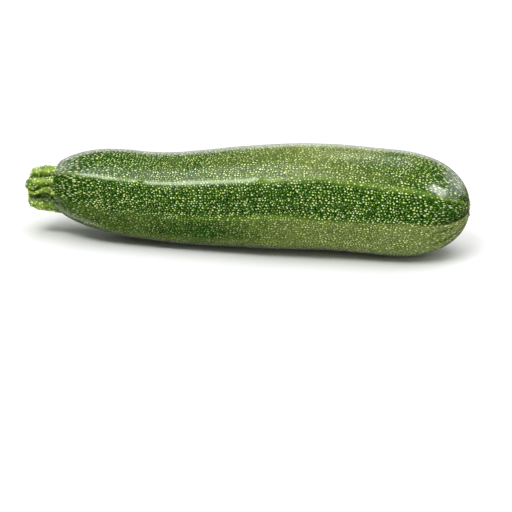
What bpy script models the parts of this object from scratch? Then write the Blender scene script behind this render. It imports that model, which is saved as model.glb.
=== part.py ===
"""A courgette as picked: the ridged green fruit, its cut stem, and the dry scar that its flower left.

Metres, +Z up. The courgette lies along X on the plane Z = 0 with its stem towards -X, and the origin
is under the middle of its bounding box. Distances along the fruit start at the stem's seat and run
to the blossom end. Angles round it start at the side that faces -Y and run up over the top.
"""

import math

import bmesh
import bpy
from mathutils import Vector

MM = 0.001

# Fruit, along its length: a neck, a belly, an elliptical shoulder and a blunter crown
FRUIT_LENGTH = 186 * MM
NECK_RADIUS = 19.3 * MM
BELLY_RADIUS = 23.5 * MM
SWELL_START = 25 * MM
SWELL_END = 112 * MM
SHOULDER_AT = 32.5 * MM
SHOULDER_REACH = 40 * MM
CROWN_AT = 152 * MM
CROWN_REACH = FRUIT_LENGTH - CROWN_AT
CROWN_BLUNTNESS = 2.15

# Fruit, the line through its middle: it dips near the stem, humps past the middle and bows to -Y
DIP = 2.6 * MM
DIP_AT = 49 * MM
DIP_SPREAD = 28 * MM
HUMP = 2.0 * MM
HUMP_AT = 124 * MM
HUMP_SPREAD = 28 * MM
LEAN = 0.4 * MM
BOW = 2.5 * MM
FLAT_DEPTH = 1.0 * MM

# Fruit, the five long ridges round its section, as shares of its radius. They fade to the crown.
RIDGES = 5
RIDGE_TURN = math.radians(38)
RIDGE_AT_STEM = 0.060
RIDGE_AT_BLOSSOM = 0.022
RIDGE_ROUNDING = 0.12
MEAN_OF_SINE = 2 / math.pi

# Where the stem and the scar meet the fruit
SEAT_RADIUS = NECK_RADIUS * math.sqrt(1 - (SHOULDER_AT / SHOULDER_REACH) ** 2)
SCAR_RADIUS = 4.4 * MM
SCAR_SINK = 0.9 * MM
PIT_TAPER = 0.97
JOIN_GAP = 0.35 * MM

# Stem, a stub with five lobes that follow the fruit's ridges and a lesser rib between each two.
# It sits a little below the fruit's middle line and leans down. Its cut is dished and slanted, and
# sticks out most on the ridge at RIDGE_TURN.
STEM_LENGTH = 12 * MM
STEM_FOOT_RADIUS = 12.4 * MM
STEM_CUT_RADIUS = 10.1 * MM
STEM_FLARE = 1.6
STEM_DROP = 1.1 * MM
STEM_LEAN = 0.16
STEM_EDGE = 1.1 * MM
CUT_DISH = 0.5 * MM
CUT_SLANT = 0.15
FOOT_EDGE = 0.5 * MM
FOOT_TUCK = 0.97
LOBE_MEAN = 0.87
LOBE_DEPTH = 0.075
RIB_DEPTH = 0.060

# Scar, (height above the crown, radius) over its torn ring and the style's stub in the middle
SCAR_PROFILE = (
    (0.0 * MM, 3.85 * MM),
    (0.55 * MM, 3.6 * MM),
    (0.75 * MM, 3.1 * MM),
    (0.15 * MM, 2.45 * MM),
    (0.0 * MM, 1.45 * MM),
    (0.5 * MM, 0.9 * MM),
)
STYLE_STANDS = 0.6 * MM
TATTER = 0.3
TATTER_WAVES = 7

# Mesh density
SEGMENTS = 60
SCAR_SEGMENTS = 28
SEAT_RINGS = 3
END_RINGS = 11
BODY_RINGS = 22
CUT_RINGS = 3
STEM_RINGS = 8
FOOT_RINGS = 3

# Colours, roughness and metallic value
SKIN = ((0.045, 0.135, 0.025, 1.0), 0.38, 0.0)
STEM_GREEN = ((0.25, 0.42, 0.06, 1.0), 0.55, 0.0)
CORK = ((0.33, 0.19, 0.08, 1.0), 0.90, 0.0)


def eased(start, end, value):
    """0 before start, 1 after end, with a smooth rise between."""
    t = min(1.0, max(0.0, (value - start) / (end - start)))
    return t * t * (3 - 2 * t)


def bell(centre, spread, value):
    return math.exp(-(((value - centre) / spread) ** 2))


def shares(count):
    """The numbers from just above 0 to 1 in this many equal steps."""
    return [(step + 1) / count for step in range(count)]


def crown_share(share):
    """Share of the radius left at this share of the crown's reach. It is its own inverse."""
    return max(0.0, 1 - share**CROWN_BLUNTNESS) ** (1 / CROWN_BLUNTNESS)


def body_radius(along):
    """Mean radius of the fruit at this distance."""
    swell = eased(SWELL_START, SWELL_END, along)
    radius = NECK_RADIUS + (BELLY_RADIUS - NECK_RADIUS) * swell
    if along < SHOULDER_AT:
        radius *= math.sqrt(1 - ((SHOULDER_AT - along) / SHOULDER_REACH) ** 2)
    if along > CROWN_AT:
        radius *= crown_share((along - CROWN_AT) / CROWN_REACH)
    return radius


def ridge_factor(along, angle):
    """How far the section stands out at this angle: a rounded crest on each ridge, flatter between."""
    share = eased(0, FRUIT_LENGTH, along)
    strength = RIDGE_AT_STEM + (RIDGE_AT_BLOSSOM - RIDGE_AT_STEM) * share
    wave = math.hypot(math.sin(RIDGES / 2 * (angle - RIDGE_TURN)), RIDGE_ROUNDING)
    return 1 + strength * (MEAN_OF_SINE - wave)


def spine(along):
    """The point of the fruit's middle line at this distance. It runs straight on past the seat."""
    if along < 0:
        return spine(0) + (spine(MM) - spine(0)) * (along / MM)
    across = 2 * along / FRUIT_LENGTH - 1
    height = HUMP * bell(HUMP_AT, HUMP_SPREAD, along) - DIP * bell(DIP_AT, DIP_SPREAD, along)
    height -= LEAN * along / FRUIT_LENGTH
    return Vector((along, -BOW * (1 - across * across), height))


def placed(along, radius, angle):
    """The point at this distance along the middle line, radius from it and angle round it."""
    tangent = (spine(along + MM) - spine(along)).normalized()
    towards_viewer = Vector((0, -1, 0))
    up = towards_viewer.cross(tangent).normalized()
    side = tangent.cross(up).normalized()
    return spine(along) + (side * math.cos(angle) + up * math.sin(angle)) * radius


def shoulder_distance(radius):
    """Distance from the seat at which the fruit's shoulder has this radius. The seat itself is flat."""
    if radius <= SEAT_RADIUS:
        return 0.0
    return SHOULDER_AT - SHOULDER_REACH * math.sqrt(1 - (radius / NECK_RADIUS) ** 2)


def over_shoulder(radius, angle):
    """Distance at which a point with this radius clears the fruit by the join's gap."""
    return shoulder_distance(radius / ridge_factor(0, angle)) - JOIN_GAP


def crown_surface():
    """Distance at which the crown comes down to the scar's radius."""
    return CROWN_AT + CROWN_REACH * crown_share(SCAR_RADIUS / BELLY_RADIUS)


def fruit_meridian():
    """(distance, radius) of each ring of the fruit, from its seat to the floor of the scar's pit."""
    rings = [(0.0, SEAT_RADIUS * share) for share in shares(SEAT_RINGS)]
    seat_turn = math.asin(SEAT_RADIUS / NECK_RADIUS)
    for share in shares(END_RINGS):
        turn = seat_turn + (math.pi / 2 - seat_turn) * share
        along = SHOULDER_AT - SHOULDER_REACH * math.cos(turn)
        rings.append((along, body_radius(along)))
    for share in shares(BODY_RINGS):
        along = SHOULDER_AT + (CROWN_AT - SHOULDER_AT) * share
        rings.append((along, body_radius(along)))
    crown_turn = math.asin((crown_surface() - CROWN_AT) / CROWN_REACH)
    for share in shares(END_RINGS):
        along = CROWN_AT + CROWN_REACH * math.sin(crown_turn * share)
        rings.append((along, body_radius(along)))
    rings.append((crown_surface() - SCAR_SINK, SCAR_RADIUS * PIT_TAPER))
    return rings


def stem_section(radius, angle):
    """Radius of the stem at this angle, lobed and ribbed."""
    turn = RIDGES * (angle - RIDGE_TURN)
    return radius * (LOBE_MEAN + LOBE_DEPTH * math.cos(turn) + RIB_DEPTH * math.cos(2 * turn))


def stem_profile():
    """(height above the seat, radius) of the stem's rings, from the middle of its cut to its foot."""
    rings = [(STEM_LENGTH - CUT_DISH, 0.0)]
    for share in shares(CUT_RINGS):
        height = STEM_LENGTH - CUT_DISH * (1 - share * share)
        rings.append((height, (STEM_CUT_RADIUS - STEM_EDGE) * share))
    rounded = STEM_EDGE * (1 - math.cos(math.pi / 4))
    rings.append((STEM_LENGTH - rounded, STEM_CUT_RADIUS - rounded))
    for share in [0.0] + shares(STEM_RINGS):
        height = FOOT_EDGE + (STEM_LENGTH - STEM_EDGE - FOOT_EDGE) * (1 - share)
        radius = STEM_CUT_RADIUS + (STEM_FOOT_RADIUS - STEM_CUT_RADIUS) * share**STEM_FLARE
        rings.append((height, radius))
    return rings


def lowered(radius, angle, height):
    """(radius, angle) about the fruit's middle line of a point of the dropped and leaning stem."""
    side = radius * math.cos(angle)
    up = radius * math.sin(angle) - STEM_DROP - STEM_LEAN * height
    return math.hypot(side, up), math.atan2(up, side)


def material_of(name, look):
    colour, roughness, metallic = look
    material = bpy.data.materials.new(name)
    material.use_nodes = True
    shader = material.node_tree.nodes["Principled BSDF"]
    shader.inputs["Base Color"].default_value = colour
    shader.inputs["Roughness"].default_value = roughness
    shader.inputs["Metallic"].default_value = metallic
    return material


def shaped_sphere(name, rings, segments, place, look):
    """An object from a UV sphere whose ring and angle place() turns into a point.

    Ring 0 and the last ring are the two poles, and the rings run towards the blossom end."""
    shape = bmesh.new()
    bmesh.ops.create_uvsphere(shape, u_segments=segments, v_segments=rings, radius=1)
    for vertex in shape.verts:
        polar = math.acos(max(-1.0, min(1.0, vertex.co.z)))
        ring = round(polar * rings / math.pi)
        angle = math.atan2(vertex.co.y, vertex.co.x) + RIDGE_TURN
        vertex.co = place(ring, angle)
    bmesh.ops.triangulate(shape, faces=shape.faces)
    mesh = bpy.data.meshes.new(name)
    shape.to_mesh(mesh)
    shape.free()
    mesh.shade_smooth()
    mesh.materials.append(material_of(name, look))
    return bpy.data.objects.new(name, mesh)


def make_fruit():
    """The ridged fruit, with a flat seat for the stem and a shallow pit for the scar."""
    meridian = fruit_meridian()
    last = len(meridian) + 1

    def place(ring, angle):
        if ring == 0:
            return placed(0, 0, angle)
        if ring == last:
            return placed(meridian[-1][0], 0, angle)
        along, radius = meridian[ring - 1]
        return placed(along, radius * ridge_factor(along, angle), angle)

    return shaped_sphere("fruit", last, SEGMENTS, place, SKIN)


def make_stem():
    """The cut stem: a dished cut, lobed sides and a foot cupped over the fruit's shoulder."""
    profile = stem_profile()

    def place(ring, angle):
        reach, turn = lowered(stem_section(STEM_FOOT_RADIUS, angle), angle, 0)
        if ring < len(profile):
            height, radius = profile[ring]
            slant = CUT_SLANT * math.cos(angle - RIDGE_TURN) * radius / STEM_CUT_RADIUS
            foot = over_shoulder(reach, turn) * (1 - height / STEM_LENGTH)
            along = foot - height * (1 + slant)
            return placed(along, *lowered(stem_section(radius, angle), angle, height))
        if ring == len(profile):
            tucked = reach * FOOT_TUCK
            return placed(over_shoulder(tucked, turn), tucked, turn)
        seated = min(reach * FOOT_TUCK**2, SEAT_RADIUS * ridge_factor(0, turn) - JOIN_GAP / 2)
        inward = (ring - len(profile) - 1) / FOOT_RINGS
        return placed(-JOIN_GAP, seated * (1 - inward), turn)

    return shaped_sphere("stem", len(profile) + FOOT_RINGS + 1, SEGMENTS, place, STEM_GREEN)


def make_scar():
    """The torn corky ring and the style's stub, sunk in the crown's pit."""
    surface = crown_surface()
    floor = surface - SCAR_SINK + JOIN_GAP
    last = len(SCAR_PROFILE) + 2

    def place(ring, angle):
        if ring == 0:
            return placed(floor, 0, angle)
        if ring == 1:
            return placed(floor, SCAR_PROFILE[0][1] * PIT_TAPER, angle)
        if ring == last:
            return placed(surface + STYLE_STANDS, 0, angle)
        height, radius = SCAR_PROFILE[ring - 2]
        torn = 1 + TATTER * math.sin(TATTER_WAVES * angle) * math.cos(angle)
        return placed(surface + height * torn, radius, angle)

    return shaped_sphere("blossom_scar", last, SCAR_SEGMENTS, place, CORK)


def lay_down(pieces):
    """Sets the pieces on Z = 0, pressed flat by FLAT_DEPTH where they rest, over the origin."""
    lowest = min(v.co.z for piece in pieces for v in piece.data.vertices)
    for piece in pieces:
        for vertex in piece.data.vertices:
            vertex.co.z = max(0.0, vertex.co.z - lowest - FLAT_DEPTH)
    for axis in (0, 1):
        spread = [v.co[axis] for piece in pieces for v in piece.data.vertices]
        middle = (min(spread) + max(spread)) / 2
        for piece in pieces:
            for vertex in piece.data.vertices:
                vertex.co[axis] -= middle


def main():
    for leftover in list(bpy.data.objects):
        bpy.data.objects.remove(leftover, do_unlink=True)
    courgette = bpy.data.collections.new("courgette")
    bpy.context.scene.collection.children.link(courgette)
    pieces = [make_fruit(), make_stem(), make_scar()]
    lay_down(pieces)
    for piece in pieces:
        courgette.objects.link(piece)


main()
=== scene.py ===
"""The looks of the courgette: its flecked skin, fibrous stem and dry flower scar, on a pale floor.

Lengths are in millimetres until a mesh is made. Distances along the fruit start at the stem's seat.
Angles round it start at the side that faces the camera, which is -Y, and run up over the top.
"""

import math

import bpy
import numpy as np
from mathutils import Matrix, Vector, noise


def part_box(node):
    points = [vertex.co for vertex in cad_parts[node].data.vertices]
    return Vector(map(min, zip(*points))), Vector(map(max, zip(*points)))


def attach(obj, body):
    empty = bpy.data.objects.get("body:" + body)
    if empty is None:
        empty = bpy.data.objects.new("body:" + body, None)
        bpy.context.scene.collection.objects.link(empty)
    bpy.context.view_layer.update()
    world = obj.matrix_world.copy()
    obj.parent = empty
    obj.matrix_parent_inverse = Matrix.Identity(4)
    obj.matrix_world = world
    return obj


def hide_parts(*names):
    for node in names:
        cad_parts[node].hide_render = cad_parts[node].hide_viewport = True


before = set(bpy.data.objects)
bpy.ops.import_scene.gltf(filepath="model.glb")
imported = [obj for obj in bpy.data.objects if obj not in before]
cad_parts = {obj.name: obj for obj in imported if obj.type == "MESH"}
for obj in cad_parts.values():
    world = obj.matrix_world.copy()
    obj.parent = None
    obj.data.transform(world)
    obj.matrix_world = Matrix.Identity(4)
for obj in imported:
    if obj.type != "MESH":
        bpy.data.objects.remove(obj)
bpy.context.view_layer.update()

MM = 0.001

# The photograph's view
IMAGE_SIZE = 512
AZIMUTH = math.radians(9.7)
ELEVATION = math.radians(20)
DISTANCE = 1100
FOCAL_PIXELS = 2443
ORIGIN_PIXEL = (246.9, 243.1)
SENSOR = 36

# The fruit, as the CAD has it
FRUIT_LENGTH = 186
NECK_RADIUS = 19.3
BELLY_RADIUS = 23.5
SWELL_START = 25
SWELL_END = 112
SHOULDER_AT = 32.5
SHOULDER_REACH = 40
CROWN_AT = 152
CROWN_REACH = FRUIT_LENGTH - CROWN_AT
CROWN_BLUNTNESS = 2.15
DIP = 2.6
DIP_AT = 49
DIP_SPREAD = 28
HUMP = 2.0
HUMP_AT = 124
HUMP_SPREAD = 28
LEAN = 0.4
BOW = 2.5
RIDGES = 5
RIDGE_TURN = math.radians(38)
RIDGE_AT_STEM = 0.060
RIDGE_AT_BLOSSOM = 0.022
RIDGE_ROUNDING = 0.12
SWAY_AT_STEM = 3
SWAYS = [(0, 30, -3.5), (35, 60, -1.3), (70, 105, 1.2), (110, 170, -5)]
MEAN_OF_SINE = 2 / math.pi
SEAT_RADIUS = NECK_RADIUS * math.sqrt(1 - (SHOULDER_AT / SHOULDER_REACH) ** 2)
SCAR_RADIUS = 4.4
SCAR_SINK = 0.9
# The pit round the flower scar: shares of its depth, and of its radius at each
PIT_DEPTHS = (0.3, 0.75, 1.0)
PIT_RADII = (0.985, 0.96, 0.7)

# The stem, as the CAD has it
STEM_LENGTH = 12
STEM_FOOT_RADIUS = 12.4
STEM_CUT_RADIUS = 10.1
STEM_FLARE = 1.6
STEM_DROP = 1.1
STEM_LEAN = 0.16
STEM_EDGE = 1.1
CUT_DISH = 0.5
CUT_SLANT = 0.15

# The skin's bands, each from a ridge to a valley or back. A row of tones is one band, counted up round
# the fruit from the front ridge: from 0, dark green, to 1, olive, and paler past it, at these distances
# along the fruit. An edge's softness is a share of a band. The two bands low on the front side also
# hold a painted shadow and painted bounce light, as marked below.
BAND_EDGE = 0.14
BAND_WAVER = 0.05
VALLEY_EDGE_DROP = math.radians(3.5)
TONES_AT = (20, 70, 120, 150, 178)
BAND_TONES = [
    (0.15, 0.30, 0.74, 0.30, 0.05),
    (0.05, 0.34, 1.05, 0.40, 0.20),
    (0.10, 0.15, 0.15, 0.10, 0.10),
    (0.20, 0.45, 0.70, 0.60, 0.60),
    (0.50, 0.55, 0.60, 0.60, 0.60),
    (0.10, 0.10, 0.10, 0.10, 0.10),
    (0.60, 0.70, 0.90, 0.90, 0.90),
    # Painted bounce light from below: this band's rise past 1 towards the blossom end.
    (0.50, 0.60, 1.05, 1.30, 1.35),
    # Painted shadow: this band's dip near 70 mm. Painted bounce light from below: its rise past 1 towards
    # the blossom end.
    (0.45, 0.12, 0.95, 1.15, 1.30),
    (0.00, 0.00, 0.00, 0.00, 0.00),
]

# The flecks: how much longer than wide they are, how far apart the rows of large ones lie, how far they
# stray from their rows on a scale from 0 to 1, how far the rows are moved along at most in spacings, how
# far a fleck's dark halo reaches in spacings, and how far apart the small ones lie
FLECK_STRETCH = 1.12
ROW_SPACING = 1.17
ROW_SPREAD = 0.6
ROW_SHIFT = 40
HALO_REACH = 0.22
SMALL_SPACING = 0.62

# The skin's relief: sizes and heights of its lumps, numbers and heights of its pleats
SOFT_LUMP_SIZE = 15
SOFT_LUMP_HEIGHT = 0.16
SMALL_LUMP_SIZE = 6
SMALL_LUMP_HEIGHT = 0.05
STEM_PLEATS = 30
STEM_PLEAT_HEIGHT = 0.16
BLOSSOM_PLEATS = 20
BLOSSOM_PLEAT_HEIGHT = 0.20
FINE_STEM_PLEATS = 60
FINE_BLOSSOM_PLEATS = 46
FINE_PLEAT_HEIGHT = 0.15
PLEAT_LENGTH = 30
# Single bumps: how far along, at which angle, radius and height
BUMPS = [
    (40, math.radians(37), 1.6, 0.5),
    (96, math.radians(40), 2.2, 0.35),
    (70, math.radians(150), 2.0, 0.4),
]

# What the stem adds. It reaches into the fruit, and its valleys are a share of its radius.
FOOT_SINK = 0.4
FOOT_POLE = 1.5
STEM_VALLEY = 0.71
# Each lobe of the stem: its middle and its half width in degrees at the foot and at the cut, its reach
# at the foot, half-way and at the cut as shares of the stem's radius, and how much longer it is
STEM_LOBES = [
    ((38, 33), (21, 16), (0.97, 1.00, 1.06), 0.1),
    ((84, 79), (28, 32), (0.86, 1.07, 1.03), -0.7),
    ((140, 138), (29, 28), (0.98, 1.00, 0.97), -0.3),
    ((190, 188), (25, 25), (0.95, 0.95, 0.92), 0.3),
    ((235, 236), (24, 24), (0.97, 0.96, 0.90), -0.4),
    ((279, 283), (26, 27), (0.92, 0.94, 0.80), -0.5),
    ((311, 330), (30, 23), (0.97, 1.02, 0.97), -0.6),
    ((9, 11), (10, 7), (0.92, 0.93, 0.94), -0.9),
]

# The flower scar: heights over the skin and radii, from its rim inwards
STYLE_STANDS = 0.4
SCAR_PROFILE = [(-0.2, 4.0), (0.15, 3.8), (0.5, 3.2), (0.0, 2.5), (-0.2, 1.5), (0.3, 0.9)]

# Mesh density
FRUIT_AROUND = 400
FRUIT_ALONG = 216
STEM_AROUND = 300
STEM_FACE_RINGS = 26
STEM_EDGE_RINGS = 7
STEM_SIDE_RINGS = 64
SCAR_AROUND = 160
SCAR_RINGS = 50
# How far below the front ridge the meshes' seam lies, in turns
SEAM_BELOW = 0.385
SEED_STEP = 17.3

# The floor's half width, in metres
FLOOR_HALF = 8


def eased(start, end, value):
    """0 before start, 1 after end, with a smooth rise between."""
    t = np.clip((np.asarray(value, float) - start) / (end - start), 0, 1)
    return t * t * (3 - 2 * t)


def bell(centre, spread, value):
    """1 at the centre, with a smooth fall to 0 on both sides."""
    return np.exp(-(((np.asarray(value, float) - centre) / spread) ** 2))


def crown_share(share):
    """The blossom end's radius as a share of the belly's, at this share of its length."""
    return np.maximum(0, 1 - np.clip(share, 0, None) ** CROWN_BLUNTNESS) ** (1 / CROWN_BLUNTNESS)


def body_radius(along):
    """The fruit's mean radius, from the shoulder over neck and belly to the blossom end."""
    along = np.asarray(along, float)
    radius = NECK_RADIUS + (BELLY_RADIUS - NECK_RADIUS) * eased(SWELL_START, SWELL_END, along)
    before = np.clip((SHOULDER_AT - along) / SHOULDER_REACH, 0, 1)
    after = np.clip((along - CROWN_AT) / CROWN_REACH, 0, 1)
    return radius * np.sqrt(1 - before**2) * crown_share(after)


def ridge_factor(along, angle):
    """How far the ridges stand out, as a factor on the mean radius. They fade towards the blossom end."""
    strength = RIDGE_AT_STEM + (RIDGE_AT_BLOSSOM - RIDGE_AT_STEM) * eased(0, FRUIT_LENGTH, along)
    wave = np.hypot(np.sin(RIDGES / 2 * (angle - RIDGE_TURN)), RIDGE_ROUNDING)
    return 1 + strength * (MEAN_OF_SINE - wave)


def spine(along):
    """The fruit's middle line, which dips, humps and bows a little. Before the seat it goes on straight."""
    along = np.asarray(along, float)
    inside = np.maximum(along, 0)
    across = 2 * inside / FRUIT_LENGTH - 1
    height = HUMP * bell(HUMP_AT, HUMP_SPREAD, inside) - DIP * bell(DIP_AT, DIP_SPREAD, inside)
    points = np.stack([inside, -BOW * (1 - across**2), height - LEAN * inside / FRUIT_LENGTH], -1)
    if (along < 0).any():
        start, step = spine(0.0), spine(1.0) - spine(0.0)
        points = np.where((along < 0)[..., None], start + step * along[..., None], points)
    return points


def placed(along, radius, angle):
    """Points at these distances along the middle line, radii from it and angles round it."""
    along, radius, angle = np.broadcast_arrays(along, radius, angle)
    here = spine(along)
    tangent = spine(along + 1.0) - here
    tangent /= np.linalg.norm(tangent, axis=-1, keepdims=True)
    up = np.cross([0, -1, 0], tangent)
    up /= np.linalg.norm(up, axis=-1, keepdims=True)
    side = np.cross(tangent, up)
    outwards = side * np.cos(angle)[..., None] + up * np.sin(angle)[..., None]
    return here + outwards * radius[..., None]


def shoulder_distance(radius):
    """How far along the fruit the shoulder has this radius. Inside the seat it is level."""
    share = np.clip(radius / NECK_RADIUS, 0, 1)
    past = SHOULDER_AT - SHOULDER_REACH * np.sqrt(1 - share**2)
    return np.where(radius <= SEAT_RADIUS, 0.0, past)


def crown_surface():
    """How far along the fruit the skin meets the flower scar's pit."""
    return CROWN_AT + CROWN_REACH * float(crown_share(SCAR_RADIUS / BELLY_RADIUS))


def rough(points, scale, seed=0):
    """Smooth noise from -1 to 1 at each point, with features about this size."""
    flat = np.asarray(points, float).reshape(-1, 3) / scale + seed * SEED_STEP
    values = [noise.noise(Vector(p)) for p in flat]
    return np.array(values).reshape(np.asarray(points).shape[:-1])


def around_angles(count):
    """Angles round the middle line, from a seam that lies underneath."""
    return (np.arange(count) / count - SEAM_BELOW) * 2 * math.pi + RIDGE_TURN


def lofted(name, rings, first_pole, last_pole):
    """A closed smooth mesh object over rings of points, with a pole at each end."""
    count, around = rings.shape[:2]
    vertices = np.concatenate([rings.reshape(-1, 3), [first_pole, last_pole]])
    here = np.arange(around)
    after = (here + 1) % around
    faces = []
    for ring in range(count - 1):
        low, high = ring * around, (ring + 1) * around
        faces += np.stack([low + here, high + here, high + after, low + after], 1).tolist()
    first, last = count * around, count * around + 1
    top = (count - 1) * around
    faces += np.stack([np.full(around, first), here, after], 1).tolist()
    faces += np.stack([np.full(around, last), top + after, top + here], 1).tolist()
    mesh = bpy.data.meshes.new(name)
    mesh.from_pydata((vertices * MM).tolist(), [], faces)
    mesh.shade_smooth()
    piece = bpy.data.objects.new(name, mesh)
    bpy.context.scene.collection.objects.link(piece)
    return piece


def give(piece, name, values, domain="POINT"):
    """Stores a number or a vector for each vertex or corner, as an attribute that the material reads."""
    values = np.asarray(values, float)
    kind = "FLOAT_VECTOR" if values.ndim == 2 else "FLOAT"
    attribute = piece.data.attributes.new(name, kind, domain)
    attribute.data.foreach_set("vector" if kind == "FLOAT_VECTOR" else "value", values.ravel())


def at_corners(values, once_round=0.0):
    """Values on rings for each corner of a loft's faces, with once_round added past the seam."""
    after = np.roll(values, -1, axis=1)
    after[:, -1] += once_round
    quads = np.stack([values[:-1], values[1:], after[1:], after[:-1]], -1)
    fans = []
    for ring, left, right in ((0, values, after), (-1, after, values)):
        middle = (left[ring] + right[ring]) / 2
        fans.append(np.stack([middle, left[ring], right[ring]], -1))
    return np.concatenate([quads.ravel(), fans[0].ravel(), fans[1].ravel()])


def with_poles(values):
    """Values on rings, with the first and the last ring's mean added for the two poles."""
    ends = [values[0].mean(0), values[-1].mean(0)]
    return np.concatenate([values.reshape((-1,) + values.shape[2:]), ends])


def cad_shift(rings):
    """The move that puts the fruit's rings, made about its own seat, where the CAD's fruit is."""
    low, high = (np.array(corner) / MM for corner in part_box("fruit"))
    own_low, own_high = rings.reshape(-1, 3).min(0), rings.reshape(-1, 3).max(0)
    shift = (low + high) / 2 - (own_low + own_high) / 2
    shift[2] = high[2] - own_high[2]
    return shift


def fruit_rings():
    """Distance and mean radius of each ring, from the seat's edge to the floor of the scar's pit."""
    seat_turn = math.asin(SEAT_RADIUS / NECK_RADIUS)
    crown_turn = math.asin((crown_surface() - CROWN_AT) / CROWN_REACH)
    shoulder_count, crown_count = FRUIT_ALONG // 5, FRUIT_ALONG // 4
    turns = np.linspace(seat_turn, math.pi / 2, shoulder_count, endpoint=False)
    shoulder = SHOULDER_AT - SHOULDER_REACH * np.cos(turns)
    body_count = FRUIT_ALONG - shoulder_count - crown_count
    body = np.linspace(SHOULDER_AT, CROWN_AT, body_count, endpoint=False)
    crown = CROWN_AT + CROWN_REACH * np.sin(np.linspace(0, crown_turn, crown_count))
    along = np.concatenate([shoulder, body, crown])
    radius = body_radius(along)
    pit = np.array(PIT_DEPTHS) * SCAR_SINK
    pit_radius = SCAR_RADIUS * np.array(PIT_RADII)
    return np.append(along, crown_surface() - pit), np.append(radius, pit_radius)


def ridge_drift(along):
    """The ridges sway a little round the fruit on their way to the blossom end."""
    return np.radians(SWAY_AT_STEM + sum(turn * eased(start, end, along) for start, end, turn in SWAYS))


def pleats(angle, along, count, seed):
    """About this many uneven long pleats round the fruit, from -1 to 1."""
    reach = count / 6
    coords = [np.cos(angle) * reach, np.sin(angle) * reach, along / PLEAT_LENGTH]
    return rough(np.stack(np.broadcast_arrays(*coords), -1), 1, seed)


def end_pleats(along, angle):
    """The fine pleats towards both ends of the fruit, from -1 to 1."""
    at_stem = (1 - eased(1, 14, along)) * pleats(angle, along, FINE_STEM_PLEATS, 2)
    return at_stem + eased(160, 177, along) * pleats(angle, along, FINE_BLOSSOM_PLEATS, 3)


def fruit_relief(along, angle, straight):
    """How far the skin stands out over the CAD's form: soft lumps, single bumps, and pleats at both ends."""
    relief = SOFT_LUMP_HEIGHT * rough(straight, SOFT_LUMP_SIZE)
    relief += SMALL_LUMP_HEIGHT * rough(straight, SMALL_LUMP_SIZE, 1)
    relief += STEM_PLEAT_HEIGHT * (1 - eased(2, 18, along)) * pleats(angle, along, STEM_PLEATS, 5)
    relief += BLOSSOM_PLEAT_HEIGHT * eased(168, 184, along) * pleats(angle, along, BLOSSOM_PLEATS, 6)
    relief += FINE_PLEAT_HEIGHT * end_pleats(along, angle)
    for bump_along, bump_angle, bump_radius, bump_height in BUMPS:
        turned = np.remainder(angle - bump_angle + math.pi, 2 * math.pi) - math.pi
        across = turned * body_radius(bump_along)
        relief += bump_height * bell(0, bump_radius, np.hypot(along - bump_along, across))
    return relief


def skin_space(along, angle, radius):
    """The skin on a straight rod in millimetres, for seamless noise."""
    rod = NECK_RADIUS**0.35 * np.maximum(radius, 1) ** 0.65
    return np.stack([along, rod * np.cos(angle), rod * np.sin(angle)], -1)


def fleck_map(along, radius, angle):
    """The skin unrolled for its flecks, at each corner. Towards both ends they get narrower and longer."""
    ends = np.maximum(1 - eased(5, 36, along[1:, 0]), eased(150, 182, along[1:, 0]))
    steps = np.hypot(np.diff(along[:, 0]), np.diff(radius[:, 0])) * (1 - 0.55 * ends) / FLECK_STRETCH
    walked = at_corners(np.append(0, np.cumsum(steps))[:, None] + 0 * angle)
    sides = at_corners(angle * BELLY_RADIUS, 2 * math.pi * BELLY_RADIUS)
    return np.stack([walked, sides, np.zeros_like(sides)], -1)


def band_tone(along, angle):
    """0 in the darkest green bands and 1 or more in the palest olive ones, with soft edges. Low on the front
    side the tones hold a painted shadow and painted bounce light.
    """
    turned = (angle - RIDGE_TURN) / (math.pi / RIDGES)
    band = np.floor(turned)
    inside = turned - band
    table = np.array([np.interp(along[:, 0], TONES_AT, tones) for tones in BAND_TONES])
    ring = np.arange(len(along))[:, None]

    def tone_of(which):
        return table[which.astype(int) % len(BAND_TONES), ring]

    here = tone_of(band)
    edge = BAND_EDGE * (1 - 0.5 * eased(55, 110, along))
    to_before = np.clip(0.5 - inside / (2 * edge), 0, 0.5)
    to_after = np.clip(0.5 - (1 - inside) / (2 * edge), 0, 0.5)
    return here + (tone_of(band - 1) - here) * to_before + (tone_of(band + 1) - here) * to_after


def mark_skin(piece, along, radius, angle, straight):
    """Gives the fruit's mesh what its material reads: its bands, ridge lines partly painted as a highlight,
    flecks, and painted shade in the pleats' creases.
    """
    bands = angle - ridge_drift(along) + BAND_WAVER * rough(straight, 12, 5)
    lower = VALLEY_EDGE_DROP * (1 - 0.8 * eased(120, 160, along))
    edges = bands + lower * (1 - np.cos(RIDGES * (bands - RIDGE_TURN)))
    crest = np.abs(np.sin(RIDGES / 2 * (bands - RIDGE_TURN)))
    give(piece, "skin_space", with_poles(skin_space(along, angle, radius)))
    give(piece, "fleck_map", fleck_map(along, radius, angle), "CORNER")
    give(piece, "tone", with_poles(band_tone(along, edges)))

    # Light lines run along the ridges, most on the front one, and a stripe along the camera's side. The
    # ridge lines are partly the skin's own paler green and partly a painted highlight, which the front ridge
    # gets most of.
    stripe = bell(math.radians(2), math.radians(4), edges) * bell(95, 40, along)
    front_ridge_highlight = 0.25 + 0.75 * bell(RIDGE_TURN, math.radians(30), bands)
    give(piece, "crest", with_poles(np.maximum((1 - eased(0, 0.24, crest)) * front_ridge_highlight, 0.8 * stripe)))

    # The flecks are fainter on the neck's lower side, partly a painted reflection of the floor, and along
    # the crests of the neck and belly, a painted highlight.
    under = eased(-0.07, 0.08, -np.sin(edges)) * (1 - eased(70, 130, along))
    painted_highlight_fade = (1 - eased(0, 0.12, crest)) * (1 - eased(105, 125, along))
    give(piece, "fleck_strength", with_poles((1 - 0.5 * under) * (1 - 0.5 * painted_highlight_fade)))
    # Painted shade in the fine pleats' valleys at both ends.
    give(piece, "pleat_shade", with_poles(eased(0, 0.6, -end_pleats(along, angle))))


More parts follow.
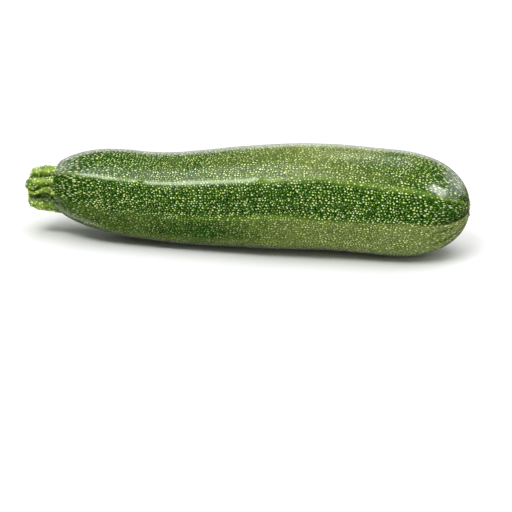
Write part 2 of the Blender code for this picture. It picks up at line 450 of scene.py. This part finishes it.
def make_fruit():
    """The fruit's fine mesh, marked for its material. Returns the piece and its shift."""
    along, radius = fruit_rings()
    along, angle = np.meshgrid(along, around_angles(FRUIT_AROUND), indexing="ij")
    radius = np.repeat(radius[:, None], FRUIT_AROUND, 1)
    straight = np.stack([along, radius * np.cos(angle), radius * np.sin(angle)], -1)
    ridged = radius * ridge_factor(along, angle - ridge_drift(along))
    plain = placed(along, radius * ridge_factor(along, angle), angle)
    shift = cad_shift(plain)
    rings = placed(along, ridged + fruit_relief(along, angle, straight), angle) + shift
    rings[..., 2] = np.maximum(rings[..., 2], 0)
    piece = lofted("fruit_skin", rings, placed(0, 0, 0) + shift, rings[-1].mean(0))
    mark_skin(piece, along, radius, angle, straight)
    return piece, shift


def stem_lobes(angle, height):
    """The reach of the stem's lobes, their extra length, and the painted shade in the grooves between them.
    """
    share = np.clip(height / STEM_LENGTH, 0, 1)
    reach = np.full_like(angle, STEM_VALLEY)
    rise, longer = np.zeros_like(angle), np.zeros_like(angle)
    for middles, half_widths, reaches, extra in STEM_LOBES:
        middle = np.interp(share, (0, 1), np.radians(middles))
        half_width = np.interp(share, (0, 1), np.radians(half_widths))
        apart = np.remainder(angle - middle + math.pi, 2 * math.pi) - math.pi
        own_rise = np.clip(1 - (apart / half_width) ** 2, 0, 1) ** 0.7
        own_reach = STEM_VALLEY + (np.interp(share, (0, 0.5, 1), reaches) - STEM_VALLEY) * own_rise
        wins = own_reach > reach
        reach, rise = np.where(wins, own_reach, reach), np.where(wins, own_rise, rise)
        longer = np.where(wins, extra, longer)
    longer = sum(np.roll(longer, turn, 1) for turn in range(-4, 5)) / 9
    # Painted shade in the grooves between the lobes, fading towards the cut.
    groove_shade = (1 - eased(0.15, 0.9, rise)) * (1 - 0.6 * eased(0.75, 1, share))
    return reach, longer, groove_shade


def lowered(radius, angle, height):
    """Radius and angle from the fruit's middle line, for the stem's own, which lies lower."""
    side = radius * np.cos(angle)
    up = radius * np.sin(angle) - STEM_DROP - STEM_LEAN * height
    return np.hypot(side, up), np.arctan2(up, side)


def stem_rings():
    """Height above the seat, radius and share of the cut face of each ring of the stem."""
    dish = np.linspace(0.04, 1, STEM_FACE_RINGS)
    cut_height = STEM_LENGTH - CUT_DISH * (1 - dish**2)
    cut_radius = (STEM_CUT_RADIUS - STEM_EDGE) * dish
    turns = np.linspace(0, math.pi / 2, STEM_EDGE_RINGS + 2)[1:-1]
    edge_height = STEM_LENGTH - STEM_EDGE * (1 - np.cos(turns))
    edge_radius = STEM_CUT_RADIUS - STEM_EDGE * (1 - np.sin(turns))
    share = np.linspace(0, 1, STEM_SIDE_RINGS)
    side_height = (STEM_LENGTH - STEM_EDGE) * (1 - share) - FOOT_SINK * share
    side_radius = STEM_CUT_RADIUS + (STEM_FOOT_RADIUS - STEM_CUT_RADIUS) * share**STEM_FLARE
    height = np.concatenate([cut_height, edge_height, side_height])
    radius = np.concatenate([cut_radius, edge_radius, side_radius])
    fading = 1 - eased(0, 1, np.linspace(0, 1, STEM_EDGE_RINGS))
    cut = np.concatenate([np.ones(STEM_FACE_RINGS), fading, np.zeros(STEM_SIDE_RINGS)])
    return height, radius, cut


def make_stem(shift):
    """The stem's stub, sunk a little in the fruit's shoulder."""
    height, radius, cut = stem_rings()
    height, angle = np.meshgrid(height, around_angles(STEM_AROUND), indexing="ij")
    radius = np.repeat(radius[:, None], STEM_AROUND, 1)
    cut = np.repeat(cut[:, None], STEM_AROUND, 1)
    straight = np.stack([height, radius * np.cos(angle), radius * np.sin(angle)], -1)
    lobes, longer, groove_shade = stem_lobes(angle + 0.16 * rough(straight, 4.5, 12), height)
    share = np.clip(height / STEM_LENGTH, 0, 1)
    lumps = 0.6 * rough(straight * [0.7, 1, 1], 3.2, 7) + 0.5 * rough(straight * [0.8, 1, 1], 1.5, 8)
    section = radius * lobes + (1 - cut) * lumps
    slant = CUT_SLANT * np.cos(angle - RIDGE_TURN) * radius / STEM_CUT_RADIUS
    ragged = longer * eased(0.2, 1, radius / STEM_CUT_RADIUS) - 0.5 * rough(straight * [0, 1, 1], 3.5, 9)
    reach, _ = lowered(STEM_FOOT_RADIUS * lobes[-1], angle[-1], 0)
    foot = shoulder_distance(reach / ridge_factor(0, angle)) * (1 - height / STEM_LENGTH)
    along = foot - height * (1 + slant) - ragged * share**2
    rings = placed(along, *lowered(section, angle, height)) + shift
    piece = lofted("stem_stub", rings, rings[0].mean(0), placed(FOOT_POLE, 0, 0) + shift)
    give(piece, "stem_space", with_poles(straight))
    give(piece, "cut", with_poles(cut))
    # The painted shade of the grooves, for the material.
    give(piece, "groove_shade", with_poles(groove_shade))
    # The lumps' heights, which the material paints as shade in the hollows and light on the tops.
    give(piece, "lump_shade", with_poles(lumps))
    return piece


def make_scar(shift):
    """The dry flower scar: a torn ring of cork with the style's stub in its middle."""
    points = np.array(SCAR_PROFILE)
    steps = np.linspace(0, len(points) - 1, SCAR_RINGS)
    marks = np.arange(len(points))
    height = np.interp(steps, marks, points[:, 0])
    radius = np.interp(steps, marks, points[:, 1])
    height, angle = np.meshgrid(height, around_angles(SCAR_AROUND), indexing="ij")
    radius = np.repeat(radius[:, None], SCAR_AROUND, 1)
    straight = np.stack([2 * height, radius * np.cos(angle), radius * np.sin(angle)], -1)
    tears = 0.1 + 2.6 * pleats(angle, 20 * height, 20, 4) + 0.8 * pleats(angle, 20 * height, 50, 5)
    torn = np.clip(tears, -1, 2)
    crumbs = 0.12 * rough(straight, 0.5, 11) * eased(0, 0.3, height)
    surface = crown_surface()
    rings = placed(surface + height * torn + crumbs, radius, angle) + shift
    floor = placed(surface - SCAR_SINK, radius[:1], angle[:1]) + shift
    rings = np.concatenate([floor, rings])
    piece = lofted("flower_scar", rings, floor[0].mean(0), placed(surface + STYLE_STANDS, 0, 0) + shift)
    give(piece, "scar_space", with_poles(np.concatenate([straight[:1], straight])))
    outer = eased(2.0, 3.2, np.concatenate([radius[:1], radius]))
    give(piece, "outer", with_poles(outer))
    return piece


class Look:
    """A material put together node by node over a Principled surface."""

    def __init__(self, name):
        self.material = bpy.data.materials.new(name)
        self.material.use_nodes = True
        self.nodes = self.material.node_tree.nodes
        self.surface = self.nodes["Principled BSDF"]

    def feed(self, node, socket, value):
        if isinstance(value, bpy.types.NodeSocket):
            self.material.node_tree.links.new(value, node.inputs[socket])
        else:
            node.inputs[socket].default_value = value

    def add(self, kind, inputs, **settings):
        node = self.nodes.new("ShaderNode" + kind)
        for name, value in settings.items():
            setattr(node, name, value)
        for socket, value in inputs.items():
            self.feed(node, socket, value)
        return node

    def attribute(self, name, output="Fac"):
        return self.add("Attribute", {}, attribute_name=name).outputs[output]

    def calc(self, operation, *values):
        return self.add("Math", dict(enumerate(values)), operation=operation).outputs[0]

    def vector(self, operation, *values):
        return self.add("VectorMath", dict(enumerate(values)), operation=operation).outputs[0]

    def ramp(self, value, start, end, low=0.0, high=1.0):
        """low where the value is at start, high where it is at end, with a smooth rise between."""
        inputs = {"Value": value, "From Min": start, "From Max": end, "To Min": low, "To Max": high}
        return self.add("MapRange", inputs, interpolation_type="SMOOTHSTEP").outputs[0]

    def noise(self, where, scale, detail=2.0, output=0):
        inputs = {"Vector": where, "Scale": scale, "Detail": detail}
        return self.add("TexNoise", inputs).outputs[output]

    def blend(self, share, first, second, way="MIX"):
        node = self.add("Mix", {}, data_type="RGBA", blend_type=way)
        for socket, value in zip((0, 6, 7), (share, first, second)):
            self.feed(node, socket, value)
        return node.outputs[2]

    def flecks(self, where, spacing, least, most, softness, flat="3D", strewn=0.95):
        """Round spots about this far apart: their mask, a random colour for each and a wider soft mask."""
        inputs = {"Vector": where, "Scale": 1 / spacing, "Randomness": strewn}
        cells = self.add("TexVoronoi", inputs, feature="F1", voronoi_dimensions=flat)
        random = self.add("SeparateColor", {"Color": cells.outputs["Color"]}).outputs
        size = self.ramp(random[0], 0, 1, least, most)
        inside = self.calc("SUBTRACT", size, cells.outputs["Distance"])
        return self.ramp(inside, -softness, softness), random, self.ramp(inside, -HALO_REACH, 0)

    def in_rows(self, where, spacing, strewn):
        """Moves each row of flecks along by a step of its own, so that the rows don't line up."""
        across = self.add("SeparateXYZ", {"Vector": where}).outputs["Y"]
        row = self.calc("FLOOR", self.calc("MULTIPLY_ADD", across, 1 / spacing, (1 - strewn) / 2))
        step = self.add("TexWhiteNoise", {"W": row}, noise_dimensions="1D").outputs["Value"]
        along = self.add("CombineXYZ", {"X": self.calc("MULTIPLY", step, ROW_SHIFT * spacing)}).outputs[0]
        return self.vector("ADD", where, along)

    def bump(self, height, depth, normal=None):
        """A bump normal for heights from 0 to 1 over this depth in millimetres."""
        inputs = {"Height": height, "Distance": depth * MM, "Strength": 1.0}
        if normal is not None:
            inputs["Normal"] = normal
        return self.add("Bump", inputs).outputs[0]


def rgb(red, green, blue):
    return (red, green, blue, 1.0)


def skin_look():
    """Dark and olive bands with pale flecks, under a thin waxy shine, with painted shade in the pleats, a
    painted shadow and painted bounce light low on the bands, and a painted highlight along the front ridge.
    """
    look = Look("courgette_skin")
    where = look.attribute("skin_space", "Vector")
    tone = look.attribute("tone")
    middle = (0.5, 0.5, 0.5)
    wander = look.vector("SUBTRACT", look.noise(where, 1.6, 1.0, 1), middle)
    spots = look.vector("MULTIPLY_ADD", wander, (0.7, 0.45, 0), look.attribute("fleck_map", "Vector"))
    drift = look.vector("SUBTRACT", look.noise(where, 0.12, 1.0, 1), middle)
    spots = look.vector("MULTIPLY_ADD", drift, (1.6, 1.6, 0), spots)
    rows = look.in_rows(spots, ROW_SPACING, ROW_SPREAD)

    patches = look.noise(where, 0.09, 3.0)
    tone = look.calc("ADD", tone, look.ramp(patches, 0.3, 0.7, -0.12, 0.12))
    mottle = look.ramp(look.noise(where, 0.9, 3.0), 0.35, 0.65)
    dark = look.blend(mottle, rgb(0.0020, 0.018, 0.0002), rgb(0.013, 0.075, 0.0006))
    olive = look.blend(mottle, rgb(0.075, 0.112, 0.013), rgb(0.150, 0.200, 0.030))
    # Tones past 1, mostly the painted bounce light low on the front side, blend towards this palest colour.
    palest = rgb(0.24, 0.30, 0.11)
    colour = look.blend(look.ramp(tone, 0, 1), dark, olive)
    colour = look.blend(look.ramp(tone, 1, 2), colour, palest)
    # The crest line: partly the ridges' own paler green, partly a painted highlight along the front ridge.
    uneven = look.ramp(look.noise(where, 0.25), 0.35, 0.65, 0.4, 0.85)
    line = look.calc("MULTIPLY", look.attribute("crest"), uneven)
    line_green = rgb(0.15, 0.27, 0.02)
    colour = look.blend(line, colour, line_green)

    strength = look.attribute("fleck_strength")
    large, large_random, halo = look.flecks(rows, ROW_SPACING, 0.09, 0.28, 0.05, "2D", ROW_SPREAD)
    halo = look.calc("MULTIPLY", look.calc("MULTIPLY", halo, strength), 0.9)
    colour = look.blend(halo, colour, dark)
    small, small_random, _ = look.flecks(spots, SMALL_SPACING, 0.08, 0.34, 0.08, "2D")
    small = look.calc("MULTIPLY", small, look.ramp(small_random[1], 0, 1, 0.2, 0.8))
    small = look.calc("MULTIPLY", small, strength)
    paler = look.blend(look.ramp(tone, 0.2, 1), rgb(0.15, 0.33, 0.02), rgb(0.44, 0.53, 0.22))
    colour = look.blend(small, colour, paler)
    large = look.calc("MULTIPLY", large, look.ramp(large_random[1], 0, 1, 0.5, 0.95))
    large = look.calc("MULTIPLY", large, strength)
    fleck = look.blend(large_random[2], rgb(0.84, 0.97, 0.54), rgb(0.80, 0.93, 0.24))
    colour = look.blend(large, colour, fleck)
    # Painted shade in the pleats' creases at both ends.
    pleat_shade = look.calc("MULTIPLY", look.attribute("pleat_shade"), 0.85)
    pleat_shade_green = rgb(0.004, 0.020, 0.001)
    colour = look.blend(pleat_shade, colour, pleat_shade_green)

    relief = look.noise(where, 0.55, 2.0)
    grain = look.noise(where, 2.2, 2.0)
    normal = look.bump(relief, 0.05)
    normal = look.bump(look.calc("MULTIPLY_ADD", large, -0.6, grain), 0.015, normal)
    look.feed(look.surface, "Base Color", colour)
    look.feed(look.surface, "Roughness", look.ramp(grain, 0.3, 0.7, 0.15, 0.22))
    look.feed(look.surface, "Normal", normal)
    look.surface.inputs["IOR"].default_value = 1.34
    return look.material


def stem_look():
    """Light yellow-green fibres with pale warts, and a paler cut face, with painted shade in the grooves and
    the lumps' hollows and painted light on the lumps' tops.
    """
    look = Look("courgette_stem")
    where = look.attribute("stem_space", "Vector")
    cut = look.attribute("cut")
    groove_shade = look.attribute("groove_shade")
    drawn = look.vector("MULTIPLY", where, (0.4, 1.0, 1.0))
    fibres = look.noise(drawn, 1.3, 3.0)
    lump_shade = look.calc("ADD", look.attribute("lump_shade"), look.noise(where, 0.22, 2.0))
    # Painted shade in the lumps' hollows and painted light on their tops: darker green low, yellow-green
    # high.
    green = look.blend(look.ramp(lump_shade, 0.1, 0.85), rgb(0.012, 0.075, 0.001), rgb(0.19, 0.29, 0.005))
    colour = look.blend(look.ramp(fibres, 0.35, 0.7, 0, 0.7), green, rgb(0.29, 0.46, 0.03))
    # Painted shade in the grooves between the lobes, where the warts fade too.
    colour = look.blend(look.calc("MULTIPLY", groove_shade, 0.8), colour, rgb(0.006, 0.045, 0.001))
    warts, _, halo = look.flecks(where, 1.15, 0.20, 0.48, 0.10)
    colour = look.blend(look.calc("MULTIPLY", halo, 0.35), colour, rgb(0.015, 0.070, 0.002))
    warts = look.calc("MULTIPLY", warts, look.ramp(groove_shade, 0, 1, 0.9, 0.25))
    colour = look.blend(warts, colour, rgb(0.80, 0.92, 0.30))
    dots, _, _ = look.flecks(where, 1.1, 0.10, 0.3, 0.08)
    face = look.blend(look.calc("MULTIPLY", dots, 0.6), rgb(0.46, 0.58, 0.24), rgb(0.24, 0.36, 0.10))
    face = look.blend(look.ramp(look.noise(where, 0.5), 0.5, 0.7, 0, 0.6), face, rgb(0.50, 0.46, 0.24))
    colour = look.blend(cut, colour, face)
    normal = look.bump(look.calc("ADD", warts, fibres), 0.35)
    look.feed(look.surface, "Base Color", colour)
    look.feed(look.surface, "Roughness", look.ramp(fibres, 0.3, 0.7, 0.42, 0.62))
    look.surface.inputs["Specular IOR Level"].default_value = 0.3
    look.feed(look.surface, "Normal", normal)
    return look.material


def scar_look():
    """Dry orange-brown cork with paler fibres."""
    look = Look("flower_scar_cork")
    where = look.attribute("scar_space", "Vector")
    fibres = look.noise(where, 1.6, 4.0)
    colour = look.blend(look.ramp(fibres, 0.35, 0.65), rgb(0.16, 0.085, 0.02), rgb(0.70, 0.35, 0.10))
    green = look.calc("MULTIPLY", look.attribute("outer"), look.ramp(look.noise(where, 0.7), 0.58, 0.46))
    colour = look.blend(green, colour, rgb(0.055, 0.085, 0.015))
    look.feed(look.surface, "Base Color", colour)
    look.surface.inputs["Roughness"].default_value = 0.85
    look.feed(look.surface, "Normal", look.bump(fibres, 0.25))
    return look.material


def directed(azimuth, elevation):
    """The way from the object towards a place seen at this azimuth and elevation."""
    across = math.cos(elevation)
    return Vector((math.sin(azimuth) * across, -math.cos(azimuth) * across, math.sin(elevation)))


def make_camera():
    """The photograph's view: the fruit's origin falls on its own pixel, by a move of the camera alone."""
    back = directed(AZIMUTH, ELEVATION)
    right = Vector((math.cos(AZIMUTH), math.sin(AZIMUTH), 0))
    up = back.cross(right)
    half = IMAGE_SIZE / 2
    across = (half - ORIGIN_PIXEL[0]) * DISTANCE / FOCAL_PIXELS
    raised = (ORIGIN_PIXEL[1] - half) * DISTANCE / FOCAL_PIXELS
    lens = bpy.data.cameras.new("camera")
    lens.sensor_width = SENSOR
    lens.lens = FOCAL_PIXELS * SENSOR / IMAGE_SIZE
    lens.clip_end = 100
    camera = bpy.data.objects.new("camera", lens)
    bpy.context.scene.collection.objects.link(camera)
    camera.location = (right * across + up * raised + back * DISTANCE) * MM
    camera.rotation_mode = "QUATERNION"
    camera.rotation_quaternion = (-back).to_track_quat("-Z", "Y")
    bpy.context.scene.camera = camera


def softbox(name, direction, distance, width, depth, radiance, lights=True, shines=True):
    """An area light that faces the object from this direction. Sizes and distance are in metres.

    It lights matt surfaces only if lights is set, and is mirrored only if shines is.
    """
    lamp = bpy.data.lights.new(name, "AREA")
    lamp.shape = "RECTANGLE"
    lamp.size = width
    lamp.size_y = depth
    lamp.energy = math.pi * width * depth * radiance
    light = bpy.data.objects.new(name, lamp)
    bpy.context.scene.collection.objects.link(light)
    towards = Vector(direction).normalized()
    light.location = towards * distance
    light.rotation_mode = "QUATERNION"
    light.rotation_quaternion = towards.to_track_quat("Z", "Y")
    light.visible_camera = False
    light.visible_diffuse = lights
    light.visible_glossy = shines


def make_studio():
    """A pale matt floor, a faint even surround and soft lights."""
    mesh = bpy.data.meshes.new("floor")
    signs = [(-1, -1), (1, -1), (1, 1), (-1, 1)]
    corners = [(x * FLOOR_HALF, y * FLOOR_HALF, 0) for x, y in signs]
    mesh.from_pydata(corners, [], [(0, 1, 2, 3)])
    floor = bpy.data.objects.new("floor", mesh)
    bpy.context.scene.collection.objects.link(floor)
    look = Look("floor_white")
    look.surface.inputs["Base Color"].default_value = rgb(0.84, 0.84, 0.84)
    look.surface.inputs["Roughness"].default_value = 0.9
    mesh.materials.append(look.material)
    floor.visible_glossy = False
    world = bpy.data.worlds.new("surround")
    bpy.context.scene.world = world
    world.use_nodes = True
    sky = world.node_tree.nodes["Background"]
    sky.inputs["Color"].default_value = rgb(1, 1, 1)
    sky.inputs["Strength"].default_value = 0.1

    # Each light's direction, distance, width, depth and brightness. The floor isn't mirrored in the skin,
    # so the one below the floor stands in for it there.
    softbox("overhead", (0.15, 0, 1), 1.7, 2.4, 1.8, 2.6, shines=False)
    softbox("front", (-0.22, -0.52, 0.84), 1.25, 0.8, 0.3, 9.6, shines=False)
    softbox("fill", (0.8, -0.5, 0.4), 1.6, 1.2, 1.0, 1.2, shines=False)
    softbox("sheen", (-0.56, -0.2, 1), 1.75, 1.3, 1.5, 3.8, lights=False)
    softbox("sheen_behind", (0.02, 0.56, 0.83), 1.6, 0.46, 0.8, 2.2, lights=False)
    softbox("backdrop", (0, 1, 0.2), 2.0, 4.0, 0.78, 1.6)
    softbox("rim", (-0.10, 1, 0.42), 2.0, 3.0, 0.2, 1.3, lights=False)
    softbox("glint", (-0.53, -0.50, 0.82), 1.2, 0.72, 0.4, 17, lights=False)
    softbox("left", (-0.78, 0.30, 0.52), 1.4, 1.1, 0.6, 3.0, lights=False)
    softbox("table", (-0.74, 0.10, -0.66), 0.7, 0.55, 0.45, 1.3, lights=False)
    softbox("right", (0.740, -0.120, 0.655), 1.2, 0.36, 0.50, 24, lights=False)
    softbox("right_behind", (0.80, 0.45, 0.45), 1.4, 1.2, 0.7, 3.8, lights=False)

    bpy.context.scene.view_settings.view_transform = "Standard"


fruit, fruit_shift = make_fruit()
stem = make_stem(fruit_shift)
scar = make_scar(fruit_shift)
dressed = [
    (fruit, "fruit", "skin", skin_look()),
    (stem, "stem", "stem_green", stem_look()),
    (scar, "blossom_scar", "cork", scar_look()),
]
for piece, node, slot, material in dressed:
    piece.data.materials.append(material)
    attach(piece, "root")
    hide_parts(node)
make_studio()
make_camera()
